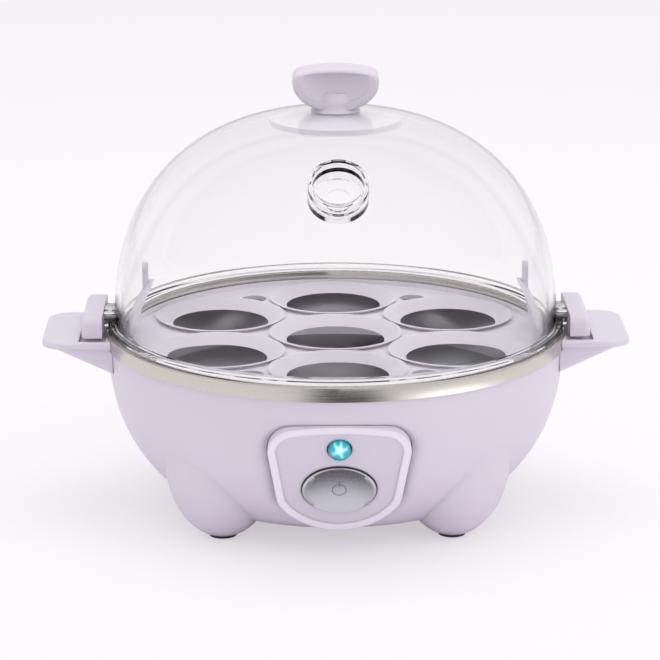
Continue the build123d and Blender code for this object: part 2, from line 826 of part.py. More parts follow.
def tray_ear():
    """Right handle of the tray: a leaning arch with a slot, and a slim tongue on its top."""
    outside = tray_radius - ear_inset
    skin = ear_skin(outside) - ear_skin(outside - ear_sheet)
    foot = tray_top - deck_drop
    shoulder = tray_top + ear_rise - ear_half_width
    sides = Polyline((ear_half_width, shoulder), (ear_half_width, foot), (-ear_half_width, foot),
                     (-ear_half_width, shoulder))
    top = ThreePointArc((-ear_half_width, shoulder), (0, tray_top + ear_rise), (ear_half_width, shoulder))
    arch = make_face(Plane.YZ * (Curve() + [sides, top]))
    ear = skin & extrude(arch, tray_radius, dir=(1, 0, 0))
    ear -= block(0, tray_radius, -slot_half_width, slot_half_width, tray_top + slot_low, tray_top + slot_high)
    x_high = tray_radius - post_inset
    tongue = block(x_high - post_sheet, x_high, -post_half_width, post_half_width,
                   tray_top + post_foot, tray_top + post_rise)
    tongue = fillet(tongue.edges().filter_by(Axis.X).sort_by(Axis.Z)[-2:], post_round)
    return ear + tongue


# Bottom group
def make_bottom_cover():
    cover = cylinder(cover_radius, cover_bottom, cover_top - SEAT)
    cover += cylinder(opening_radius - FIT, cover_top - 2 * SEAT, cover_top + cover_rim)
    for i in range(vent_slots):
        x = (i - (vent_slots - 1) / 2) * vent_slot_pitch
        slot = SlotOverall(vent_slot_length, vent_slot_width, rotation=90)
        place = Pos(x, vent_slot_inset - opening_radius, cover_bottom - PAST)
        cover -= place * extrude(slot, cover_thickness + cover_rim + 2 * PAST)
    for dx, dy in FRONT_BACK:
        x, y = dx * cover_screw_circle, dy * cover_screw_circle
        cover -= cylinder(cover_screw_radius + FIT, cover_bottom - PAST, cover_top + PAST, x, y)
    for x, y in board_corners():
        cover += cylinder(standoff_radius, cover_top + cover_rim - 2 * SEAT, board_bottom - SEAT, x, y)
    return cover


def board_corners():
    half_x = board_length / 2 - board_margin
    half_y = board_width / 2 - board_margin
    return [(sx * half_x, sy * half_y) for sx, sy in CORNERS]


def make_board():
    half_x, half_y = board_length / 2, board_width / 2
    return block(-half_x, half_x, -half_y, half_y, board_bottom, board_top)


def make_terminal_block():
    half_x, half_y = board_length / 2, board_width / 2
    return block(-half_x, block_width - half_x, -half_y, half_y, board_top, board_top + block_height)


def make_gland():
    skin = oval_radius(bowl_top - gland_z, bowl_radius, bowl_depth, bowl_power)
    back = Rot(-90, 0, 0)
    outside = skin + gland_flange_thickness
    gland = Pos(0, outside - gland_length, gland_z) * back * Cylinder(gland_radius, gland_length, align=ON_FLOOR)
    flange = Pos(0, skin - PAST, gland_z) * back * Cylinder(gland_flange, gland_flange_thickness + PAST, align=ON_FLOOR)
    gland += flange - bowl_solid(-SEAT, bowl_floor)
    nut = Pos(0, skin - wall - gland_nut, gland_z) * back * Cylinder(gland_flange, gland_nut, align=ON_FLOOR)
    gland += nut & bowl_solid(wall + SEAT, bowl_floor)
    return gland - Pos(0, skin, gland_z) * back * Cylinder(gland_bore, 4 * gland_length)


def make_foot_pad(x, y):
    return cylinder(pad_radius, 0, foot_bottom, x, y) + cylinder(screw_head_radius, 0, pad_height, x, y)


def make_base_screw(x, y):
    head = foot_bottom + recess_depth
    screw = cylinder(screw_head_radius, head - screw_head_height, head - SEAT, x, y)
    return screw + cylinder(screw_radius - SEAT / 2, head - 2 * SEAT, plate_underside - foot_bottom, x, y)


def make_sleeve(x, y):
    bore = cylinder(screw_radius, sleeve_bottom - PAST, plate_underside - PAST, x, y)
    return cylinder(post_radius, sleeve_bottom, plate_underside, x, y) - bore


def make_cover_screw(x, y):
    screw = cylinder(cover_screw_head, cover_bottom - cover_screw_height, cover_bottom - SEAT, x, y)
    low = cover_bottom - 2 * SEAT
    return screw + cylinder(cover_screw_radius, low, low + cover_screw_length, x, y)


def group(make, places, radius):
    """Equal pieces at several places, as one set."""
    return Compound(children=[make(dx * radius, dy * radius) for dx, dy in places])


# Write every piece
save(make_body_shell(), "body_shell")
save(make_rim_band(), "rim_band")
save(make_heating_plate(), "heating_plate")
gasket_inner = bowl_radius - wall - ledge_width + gasket_inset
save(ring(gasket_inner, plate_flange_radius, ledge_top, gasket_top), "plate_gasket")
save(cylinder(spreader_radius, spreader_bottom, plate_underside), "heat_spreader")
save(make_heating_element(), "heating_element")
save(make_heat_shield(), "heat_shield")
save(make_thermostat(), "thermostat")
save(make_thermal_fuse(), "thermal_fuse")
save(make_fuse_clip(), "fuse_clip")
save(make_control_panel(), "control_panel")
save(make_power_button(), "power_button")
save(make_button_spring(), "button_spring")
save(make_switch_body(), "switch_body")
save(make_switch_bracket(), "switch_bracket")
save(make_lens(), "indicator_lens")
save(make_lamp(), "indicator_lamp")
save(make_bottom_cover(), "bottom_cover")
save(make_board(), "control_board")
save(cylinder(buzzer_radius, board_top, board_top + buzzer_height, buzzer_x, 0), "buzzer")
save(make_terminal_block(), "terminal_block")
save(make_gland(), "cord_gland")
save(make_lid_dome(), "lid_dome")
save(make_knob(), "lid_knob")
save(make_knob_disc(), "knob_disc")
save(make_knob_screw(), "knob_screw")
for side_name, side_sign in SIDES:
    save(sided(make_lid_grip(), side_sign), f"lid_grip_{side_name}")
    save(sided(grip_pin(0), side_sign), f"grip_pin_{side_name}")
save(make_tray(), "tray")
for index, (sx, sy) in enumerate(CORNERS, start=1):
    save(make_foot_pad(sx * lobe_offset, sy * lobe_offset), f"foot_pad_{index}")
save(group(make_base_screw, CORNERS, lobe_offset), "base_screws")
save(group(make_sleeve, CORNERS, lobe_offset), "plate_sleeves")
save(group(make_cover_screw, FRONT_BACK, cover_screw_circle), "cover_screws")
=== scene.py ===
# %% [markdown]
# # An electric egg cooker
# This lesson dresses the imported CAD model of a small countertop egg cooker: a lavender plastic base
# on four lobed feet, a brushed steel rim, a clear dome with a steam vent, a pinch grip on top, a tray
# with seven seats and a tilted control panel. The CAD frame holds every size and every joint. Blender
# adds the finish of each surface, and rounder shapes where the CAD solids are plain.

import json
import math

import bpy
from mathutils import Matrix, Vector


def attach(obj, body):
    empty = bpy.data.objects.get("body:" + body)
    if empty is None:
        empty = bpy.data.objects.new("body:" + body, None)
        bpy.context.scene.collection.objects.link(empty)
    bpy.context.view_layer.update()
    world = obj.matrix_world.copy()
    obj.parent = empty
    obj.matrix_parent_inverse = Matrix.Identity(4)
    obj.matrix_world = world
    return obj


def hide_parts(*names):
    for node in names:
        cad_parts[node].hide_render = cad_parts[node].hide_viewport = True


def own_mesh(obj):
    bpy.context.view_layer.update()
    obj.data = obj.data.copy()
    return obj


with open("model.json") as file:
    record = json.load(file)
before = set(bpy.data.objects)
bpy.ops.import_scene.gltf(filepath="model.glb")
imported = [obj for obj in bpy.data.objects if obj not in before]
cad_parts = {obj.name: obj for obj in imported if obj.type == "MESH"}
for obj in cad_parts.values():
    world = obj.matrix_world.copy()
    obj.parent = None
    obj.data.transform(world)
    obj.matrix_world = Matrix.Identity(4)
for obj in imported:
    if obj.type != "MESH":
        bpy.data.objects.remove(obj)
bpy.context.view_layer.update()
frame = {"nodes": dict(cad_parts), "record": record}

# %% [markdown]
# ## Units and small helpers
# The scene is in metres, and the cooker's sizes are easier to read in millimetres, so each length is
# written as a number of millimetres times MM. The frame leaves its nodes selected and an operator acts
# on all that is selected, so each step starts by deselecting everything.

# %% Units and helpers
MM = 0.001


def start_clean():
    """Leave edit mode and deselect everything."""
    if bpy.context.mode != "OBJECT":
        bpy.ops.object.mode_set(mode="OBJECT")
    bpy.ops.object.select_all(action="DESELECT")


def pick(piece):
    """Make one object the only selected and active one."""
    start_clean()
    piece.select_set(True)
    bpy.context.view_layer.objects.active = piece


def settle(piece, name, finish, body):
    """Name a finished piece, put its place in its mesh, give it its finish and let it ride on a body."""
    pick(piece)
    bpy.ops.object.transform_apply(location=True, rotation=True, scale=True)
    piece.name = name
    piece.data.name = name
    piece.data.materials.clear()
    piece.data.materials.append(finish)
    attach(piece, body)
    print(name, "has", len(piece.data.polygons), "faces")
    return piece


def apply_modifier(piece, kind, **settings):
    """Add one modifier with its settings and apply it at once."""
    pick(piece)
    modifier = piece.modifiers.new(kind.title(), kind)
    for key, value in settings.items():
        setattr(modifier, key, value)
    bpy.ops.object.modifier_apply(modifier=modifier.name)


# %% [markdown]
# ## The camera
# The photograph looks down at the cooker by about 15 degrees from a metre away, a touch from the left.
# A long lens keeps the dome nearly round. The lens follows from the scale of the picture: 2.87 pixels
# for each millimetre at the middle of the cooker, in a frame of 660 pixels on a 36 mm sensor.

# %% Camera
PICTURE = 660
CAMERA_DISTANCE = 1000 * MM
CAMERA_ELEVATION = math.radians(15.3)
CAMERA_AZIMUTH = math.radians(-1.0)
PIXELS_PER_MM = 2.87
AIM_HEIGHT = 64 * MM
AIM_RIGHT_OF_CENTRE = 5.5
AIM_ABOVE_CENTRE = 7.5
SENSOR = 36.0

aim = Vector((0, 0, AIM_HEIGHT))
back = Vector((
    math.sin(CAMERA_AZIMUTH) * math.cos(CAMERA_ELEVATION),
    -math.cos(CAMERA_AZIMUTH) * math.cos(CAMERA_ELEVATION),
    math.sin(CAMERA_ELEVATION),
))
start_clean()
bpy.ops.object.camera_add(location=aim + back * CAMERA_DISTANCE)
camera = bpy.context.object
camera.rotation_euler = (-back).to_track_quat("-Z", "Y").to_euler()
camera.data.sensor_width = SENSOR
camera.data.lens = PIXELS_PER_MM * (CAMERA_DISTANCE / MM) / PICTURE * SENSOR
camera.data.shift_x = -AIM_RIGHT_OF_CENTRE / PICTURE
camera.data.shift_y = -AIM_ABOVE_CENTRE / PICTURE
bpy.context.scene.camera = camera
print("lens in mm:", round(camera.data.lens, 1))

# %% [markdown]
# ## Colours and nodes
# Colours are read off as they look on a screen, in hexadecimal sRGB, and a shader needs linear values.
# One function converts them, and one small function adds a node with its settings and its links.


# %% Colour and node helpers
def linear(hex_colour):
    """sRGB hexadecimal colour to linear values for a shader."""
    values = []
    for start in (1, 3, 5):
        share = int(hex_colour[start:start + 2], 16) / 255
        values.append(share / 12.92 if share <= 0.04045 else ((share + 0.055) / 1.055) ** 2.4)
    return (*values, 1.0)


def add_node(tree, kind, inputs=None, **settings):
    """Add a node; inputs maps a socket's name or number to a value or to another node's output."""
    node = tree.nodes.new(kind)
    for key, value in settings.items():
        setattr(node, key, value)
    for key, value in (inputs or {}).items():
        if isinstance(value, bpy.types.NodeSocket):
            tree.links.new(value, node.inputs[key])
        else:
            node.inputs[key].default_value = value
    return node


def new_finish(name):
    """A material with an empty tree, its shader and its output."""
    material = bpy.data.materials.new(name)
    material.use_nodes = True
    tree = material.node_tree
    tree.nodes.clear()
    output = add_node(tree, "ShaderNodeOutputMaterial")
    shader = add_node(tree, "ShaderNodeBsdfPrincipled")
    tree.links.new(shader.outputs[0], output.inputs[0])
    return material, tree, shader


# %% [markdown]
# ## Floor, backdrop and light
# The picture is a plain product shot: a pale floor that runs into a pale background, with a soft, light
# shadow under the cooker. The world is white and even, a large softbox above gives the tops their lift,
# and a weaker one stands on the right. To the camera, just over half of the floor's brightness is its own,
# so the shadow stays light. Three patches of the floor count for reflections alone: a dark wedge in front,
# which the steel rim mirrors at its middle, a small dark card close by, which shades the upper half of the
# dished button, and a bright card on the right, which lights the rim there. A card is given by its middle,
# the distances at which it is full and gone, its share of the floor there, its colour and its own light.

# %% Floor, world and lights
FLOOR_COLOUR = "#fbf8fb"
FLOOR_GLOW = 0.55
FLOOR_SIZE = 10.0
CARD_DARK = "#241e20"
WORLD_LIGHT = 0.80
WEDGE_MIDDLE = math.radians(4.0)
WEDGE_FULL = math.radians(10.0)
WEDGE_GONE = math.radians(21.0)
WEDGE_NEAR = 120 * MM
WEDGE_FAR = 160 * MM
WEDGE_DEPTH = 0.95
CARDS = (
    ((0.0, -0.062, 0.0), 0.012, 0.026, 0.80, CARD_DARK, 0.0),
    ((0.230, -0.190, 0.0), 0.055, 0.130, 0.92, "#ffffff", 2.6),
)

floor_material = bpy.data.materials.new("studio_floor")
floor_material.use_nodes = True
tree = floor_material.node_tree
tree.nodes.clear()
output = add_node(tree, "ShaderNodeOutputMaterial")
place = add_node(tree, "ShaderNodeNewGeometry")
path = add_node(tree, "ShaderNodeLightPath")
pale = add_node(tree, "ShaderNodeBsdfDiffuse", {"Color": linear(FLOOR_COLOUR)})
glow = add_node(tree, "ShaderNodeEmission", {"Color": linear(FLOOR_COLOUR), "Strength": 1.0})
glow_share = add_node(tree, "ShaderNodeMath", {0: path.outputs["Is Camera Ray"], 1: FLOOR_GLOW},
                      operation="MULTIPLY")
surface = add_node(tree, "ShaderNodeMixShader",
                   {0: glow_share.outputs[0], 1: pale.outputs[0], 2: glow.outputs[0]})
for middle, full, gone, depth, colour, power in CARDS:
    sheet = add_node(tree, "ShaderNodeBsdfDiffuse", {"Color": linear(colour)})
    if power:
        sheet = add_node(tree, "ShaderNodeEmission", {"Color": linear(colour), "Strength": power})
    away = add_node(tree, "ShaderNodeVectorMath", {0: place.outputs["Position"], 1: middle},
                    operation="DISTANCE")
    card = add_node(tree, "ShaderNodeMapRange",
                    {0: away.outputs["Value"], 1: full, 2: gone, 3: depth, 4: 0.0})
    share = add_node(tree, "ShaderNodeMath", {0: card.outputs[0], 1: path.outputs["Is Glossy Ray"]},
                     operation="MULTIPLY")
    surface = add_node(tree, "ShaderNodeMixShader",
                       {0: share.outputs[0], 1: surface.outputs[0], 2: sheet.outputs[0]})
parts = add_node(tree, "ShaderNodeSeparateXYZ", {0: place.outputs["Position"]})
ahead = add_node(tree, "ShaderNodeMath", {0: parts.outputs["Y"], 1: -1.0}, operation="MULTIPLY")
turn = add_node(tree, "ShaderNodeMath", {0: parts.outputs["X"], 1: ahead.outputs[0]}, operation="ARCTAN2")
swing = add_node(tree, "ShaderNodeMath", {0: turn.outputs[0], 1: WEDGE_MIDDLE}, operation="SUBTRACT")
off = add_node(tree, "ShaderNodeMath", {0: swing.outputs[0]}, operation="ABSOLUTE")
within = add_node(tree, "ShaderNodeMapRange", {0: off.outputs[0], 1: WEDGE_FULL, 2: WEDGE_GONE,
                                               3: WEDGE_DEPTH, 4: 0.0})
reach = add_node(tree, "ShaderNodeVectorMath", {0: place.outputs["Position"]}, operation="LENGTH")
beyond = add_node(tree, "ShaderNodeMapRange", {0: reach.outputs["Value"], 1: WEDGE_NEAR, 2: WEDGE_FAR})
wedge = add_node(tree, "ShaderNodeMath", {0: within.outputs[0], 1: beyond.outputs[0]}, operation="MULTIPLY")
share = add_node(tree, "ShaderNodeMath", {0: wedge.outputs[0], 1: path.outputs["Is Glossy Ray"]},
                 operation="MULTIPLY")
shade = add_node(tree, "ShaderNodeBsdfDiffuse", {"Color": linear(CARD_DARK)})
surface = add_node(tree, "ShaderNodeMixShader",
                   {0: share.outputs[0], 1: surface.outputs[0], 2: shade.outputs[0]})
tree.links.new(surface.outputs[0], output.inputs[0])

start_clean()
bpy.ops.mesh.primitive_plane_add(size=FLOOR_SIZE, location=(0, 0, 0))
floor = bpy.context.object
floor.name = "floor"
floor.data.materials.append(floor_material)

world = bpy.data.worlds.new("studio")
bpy.context.scene.world = world
world.use_nodes = True
tree = world.node_tree
tree.nodes.clear()
output = add_node(tree, "ShaderNodeOutputWorld")
path = add_node(tree, "ShaderNodeLightPath")
seen = add_node(tree, "ShaderNodeMath",
                {0: path.outputs["Is Camera Ray"], 1: path.outputs["Is Transmission Ray"]},
                operation="MAXIMUM")
even = add_node(tree, "ShaderNodeBackground", {"Color": (1, 1, 1, 1), "Strength": WORLD_LIGHT})
shown = add_node(tree, "ShaderNodeBackground", {"Color": linear(FLOOR_COLOUR), "Strength": 1.0})
mixed = add_node(tree, "ShaderNodeMixShader", {0: seen.outputs[0], 1: even.outputs[0], 2: shown.outputs[0]})
tree.links.new(mixed.outputs[0], output.inputs[0])

SOFTBOXES = (
    ("softbox_top", (0.0, 0.1, 1.1), 0.9, 3.6),
    ("softbox_right", (0.9, -0.5, 0.8), 0.6, 1.6),
)
for name, spot, size, power in SOFTBOXES:
    start_clean()
    bpy.ops.object.light_add(type="AREA", location=spot)
    light = bpy.context.object
    light.name = name
    light.data.size = size
    light.data.energy = power
    light.visible_glossy = False
    light.visible_transmission = False
    light.rotation_euler = (aim - Vector(spot)).to_track_quat("-Z", "Y").to_euler()
bpy.context.scene.view_settings.view_transform = "Standard"
print("floor, world and", len(SOFTBOXES), "softboxes")

# %% [markdown]
# ## Lavender plastic
# The base, tray, grips and knob are ABS, injection moulded in a polished tool and left as they come out.
# The surface is smooth with a soft, satin gloss. Very fine orange peel from the tool breaks the
# highlights, and the colour drifts by a percent or two where the melt flowed. The feet run softly into
# the bowl, so the base's finish rounds the shading of its low creases over several millimetres. The
# control panel leans its face down by 21 degrees, and its raised border is painted a paler colour: a
# painted highlight where the border catches the light.

# %% Lavender plastic
PANEL_TILT = math.radians(21.0)
PANEL_OUT = Vector((0, -math.cos(PANEL_TILT), -math.sin(PANEL_TILT)))
PANEL_UP = Vector((0, -math.sin(PANEL_TILT), math.cos(PANEL_TILT)))
PANEL_MIDDLE = Vector((0, -71.5, 30.7)) * MM
PANEL_LEVEL = PANEL_MIDDLE.dot(PANEL_OUT)
CREASE_SOFT = 7.0 * MM
EDGE_SOFT = 0.35 * MM
SOFT_BELOW = 44 * MM
SOFT_FADE = 8 * MM
BORDER_SOFT = 1.1 * MM
BORDER_HIGHLIGHT_LOW = 0.2 * MM
BORDER_HIGHLIGHT_HIGH = 0.7 * MM
NOISE_LOW = 0.3
NOISE_HIGH = 0.7
FLOW_SIZE = 38 * MM
PLASTIC_IOR = 1.5
PLASTIC_SPECULAR = 0.4
GLOSS_DRIFT = 0.03
PEEL_BUMP = 0.25


def soft_creases(tree, place):
    """Rounded shading: wide low down, where the feet leave the bowl, and narrow above."""
    parts = add_node(tree, "ShaderNodeSeparateXYZ", {0: place.outputs["Object"]})
    reach = add_node(tree, "ShaderNodeMapRange", {0: parts.outputs["Z"], 1: SOFT_BELOW,
                                                  2: SOFT_BELOW + SOFT_FADE, 3: CREASE_SOFT, 4: EDGE_SOFT})
    return add_node(tree, "ShaderNodeBevel", {"Radius": reach.outputs[0]}, samples=10).outputs[0]


def moulded_plastic(name, colour, roughness, peel_mm=1.4, peel_depth_mm=0.012, drift=0.03, soft=False,
                    glow=0.0, border_highlight=None):
    """Injection-moulded ABS: a slight drift of colour and a fine orange peel.

    soft rounds the shading of the low creases, glow is a share of the colour given off as light, painted
    light on a part that is no lamp, and the last argument is a paler colour painted on the panel's raised
    border: a painted highlight.
    """
    material, tree, shader = new_finish(name)
    place = add_node(tree, "ShaderNodeTexCoord")
    flow = add_node(tree, "ShaderNodeTexNoise", {"Vector": place.outputs["Object"], "Scale": 1 / FLOW_SIZE,
                                                "Detail": 3.0, "Roughness": 0.55})
    base = linear(colour)
    lighter = tuple(min(1.0, v * (1 + drift)) for v in base[:3]) + (1,)
    darker = tuple(v * (1 - drift) for v in base[:3]) + (1,)
    tone = add_node(tree, "ShaderNodeMix", {0: flow.outputs[0], 6: darker, 7: lighter}, data_type="RGBA")
    peel = add_node(tree, "ShaderNodeTexNoise", {"Vector": place.outputs["Object"],
                                                "Scale": 1 / (peel_mm * MM), "Detail": 2.0})
    bump = add_node(tree, "ShaderNodeBump", {"Strength": PEEL_BUMP, "Distance": peel_depth_mm * MM,
                                             "Height": peel.outputs[0]})
    gloss = add_node(tree, "ShaderNodeMapRange", {0: flow.outputs[0], 1: NOISE_LOW, 2: NOISE_HIGH,
                                                  3: roughness - GLOSS_DRIFT, 4: roughness + GLOSS_DRIFT})
    if soft:
        tree.links.new(soft_creases(tree, place), bump.inputs["Normal"])
    # A paler colour on the panel's raised border: a painted highlight where the border catches the light.
    if border_highlight:
        edge = add_node(tree, "ShaderNodeBevel", {"Radius": BORDER_SOFT}, samples=8)
        tree.links.new(edge.outputs[0], bump.inputs["Normal"])
        raised = add_node(tree, "ShaderNodeVectorMath", {0: place.outputs["Object"], 1: PANEL_OUT},
                          operation="DOT_PRODUCT")
        level = add_node(tree, "ShaderNodeMapRange", {0: raised.outputs["Value"], 1: PANEL_LEVEL + BORDER_HIGHLIGHT_LOW,
                                                      2: PANEL_LEVEL + BORDER_HIGHLIGHT_HIGH})
        tone = add_node(tree, "ShaderNodeMix", {0: level.outputs[0], 6: tone.outputs[2], 7: linear(border_highlight)},
                        data_type="RGBA")
    # Emission here is painted light: the part glows though it is no lamp.
    if glow:
        tree.links.new(tone.outputs[2], shader.inputs["Emission Color"])
        shader.inputs["Emission Strength"].default_value = glow
    tree.links.new(tone.outputs[2], shader.inputs["Base Color"])
    tree.links.new(gloss.outputs[0], shader.inputs["Roughness"])
    tree.links.new(bump.outputs[0], shader.inputs["Normal"])
    shader.inputs["IOR"].default_value = PLASTIC_IOR
    shader.inputs["Specular IOR Level"].default_value = PLASTIC_SPECULAR
    return material


base_abs = moulded_plastic("moulded_base_abs", "#dcd4e3", 0.38, soft=True)
lavender_abs = moulded_plastic("moulded_lavender_abs", "#dcd4e2", 0.38)
# The panel's paler border colour is a painted highlight.
panel_abs = moulded_plastic("moulded_panel_abs", "#dad2e1", 0.33, border_highlight="#f1e9f7")
tray_abs = moulded_plastic("moulded_tray_abs", "#eeeaf2", 0.42)
# The disc glows by 0.26 of its colour: painted light that makes up for the light the dome takes away.
disc_abs = moulded_plastic("moulded_disc_abs", "#f0edf3", 0.40, glow=0.26)
print("lavender plastics made")

# %% [markdown]
# ## Clear plastic
# The dome is clear styrene resin, moulded two millimetres thick and polished. Light passes through both
# skins and bends at the thick edges, so the shader is plain transmission and the dome's mesh has both
# skins. Such a resin has an index of refraction of 1.5 to 1.6. A lower one is set here, which keeps the
# rings of the vent a little paler. A thin absorption greys the plastic where the light runs along it.

# %% Clear plastic
RESIN_IOR = 1.36
RESIN_GREY = "#555058"
RESIN_DENSITY = 2.5
HAZE_SIZE = 25 * MM
HAZE_GLOSS = 0.01


def clear_resin(name, tint, roughness):
    """Polished clear plastic with a breath of uneven gloss."""
    material, tree, shader = new_finish(name)
    place = add_node(tree, "ShaderNodeTexCoord")
    haze = add_node(tree, "ShaderNodeTexNoise", {"Vector": place.outputs["Object"], "Scale": 1 / HAZE_SIZE})
    gloss = add_node(tree, "ShaderNodeMapRange", {0: haze.outputs[0], 1: 0.35, 2: 0.65, 3: roughness,
                                                  4: roughness + HAZE_GLOSS})
    tree.links.new(gloss.outputs[0], shader.inputs["Roughness"])
    shader.inputs["Base Color"].default_value = linear(tint)
    shader.inputs["Transmission Weight"].default_value = 1.0
    shader.inputs["IOR"].default_value = RESIN_IOR
    inside = add_node(tree, "ShaderNodeVolumeAbsorption",
                      {"Color": linear(RESIN_GREY), "Density": RESIN_DENSITY})
    output = next(node for node in tree.nodes if node.type == "OUTPUT_MATERIAL")
    tree.links.new(inside.outputs[0], output.inputs["Volume"])
    return material


clear_dome = clear_resin("polished_clear_resin", "#fdfdfd", 0.0)
print("clear plastic made")

# %% [markdown]
# ## Steel
# The rim is stainless steel strip, brushed along its length while the ring turned, so its scratches run
# round the cooker. The pattern is noise in ring coordinates: the angle about the cooker's axis, the
# height and the distance from the axis, with the angle stretched far more than the others. Real scratches
# are finer than a tenth of a millimetre, and these are drawn a quarter of one wide so that they show.

# %% Brushed steel
RIM_RADIUS_MM = 79.8
STEEL_ANISOTROPY = 0.5
TONE_DARK = 0.9
TONE_LIGHT = 1.08
STEEL_GLOSS = (-0.06, 0.08)
SCRATCH_BUMP = 0.3
SCRATCH_DEPTH = 0.01 * MM


def turned_steel(name, colour, roughness, scratch_mm=0.25, length_mm=30.0):
    """Steel brushed in circles about the upright axis."""
    material, tree, shader = new_finish(name)
    place = add_node(tree, "ShaderNodeTexCoord")
    parts = add_node(tree, "ShaderNodeSeparateXYZ", {0: place.outputs["Object"]})
    angle = add_node(tree, "ShaderNodeMath", {0: parts.outputs["Y"], 1: parts.outputs["X"]},
                     operation="ARCTAN2")
    flat = add_node(tree, "ShaderNodeCombineXYZ", {0: parts.outputs["X"], 1: parts.outputs["Y"]})
    away = add_node(tree, "ShaderNodeVectorMath", {0: flat.outputs[0]}, operation="LENGTH")
    round_it = add_node(tree, "ShaderNodeMath", {0: angle.outputs[0], 1: RIM_RADIUS_MM / length_mm},
                        operation="MULTIPLY")
    across = add_node(tree, "ShaderNodeMath", {0: away.outputs["Value"], 1: 1 / (scratch_mm * MM)},
                      operation="MULTIPLY")
    up = add_node(tree, "ShaderNodeMath", {0: parts.outputs["Z"], 1: 1 / (scratch_mm * MM)},
                  operation="MULTIPLY")
    along = add_node(tree, "ShaderNodeCombineXYZ",
                     {0: round_it.outputs[0], 1: across.outputs[0], 2: up.outputs[0]})
    scratch = add_node(tree, "ShaderNodeTexNoise", {"Vector": along.outputs[0], "Scale": 1.0, "Detail": 4.0,
                                                   "Roughness": 0.6})
    gloss = add_node(tree, "ShaderNodeMapRange", {0: scratch.outputs[0], 1: NOISE_LOW, 2: NOISE_HIGH,
                                                  3: roughness + STEEL_GLOSS[0],
                                                  4: roughness + STEEL_GLOSS[1]})
    bump = add_node(tree, "ShaderNodeBump", {"Strength": SCRATCH_BUMP, "Distance": SCRATCH_DEPTH,
                                             "Height": scratch.outputs[0]})
    base = linear(colour)
    darker = tuple(v * TONE_DARK for v in base[:3]) + (1,)
    lighter = tuple(min(1, v * TONE_LIGHT) for v in base[:3]) + (1,)
    tone = add_node(tree, "ShaderNodeMix", {0: scratch.outputs[0], 6: darker, 7: lighter}, data_type="RGBA")
    tree.links.new(tone.outputs[2], shader.inputs["Base Color"])
    tree.links.new(gloss.outputs[0], shader.inputs["Roughness"])
    tree.links.new(bump.outputs[0], shader.inputs["Normal"])
    shader.inputs["Metallic"].default_value = 1.0
    shader.inputs["Anisotropic"].default_value = STEEL_ANISOTROPY
    return material


rim_steel = turned_steel("brushed_rim_steel", "#cfcac4", 0.24)
plate_steel = turned_steel("brushed_plate_steel", "#a9a9ad", 0.36, 0.4, 18.0)
print("steels made")

# %% [markdown]
# ## Satin metals
# The button is a metal-look cap with a satin, blasted face. Fine grit scatters the light evenly, so the
# pattern is isotropic noise with a small bump and no direction. The face is dished, and its shading bends
# more than its shape does, dark above and light below: at a distance d from the button's middle, a bowl of
# radius R has risen by d squared over 2 R. The power mark is a ring with a stroke at its top.

# %% Satin metals
BUTTON_DOWN = 4.7 * MM
BUTTON_MIDDLE = PANEL_MIDDLE - PANEL_UP * BUTTON_DOWN
DISH_RADIUS = 38 * MM
MARK_RADIUS = 2.3 * MM
MARK_HALF = 0.20 * MM
MARK_STROKE = 0.55 * MARK_RADIUS
MARK_DEPTH = 0.55
MARK_COLOUR = "#4a4a50"
GRIT_GLOSS = (-0.04, 0.05)
GRIT_BUMP = 0.2
GRIT_DEPTH = 0.006 * MM


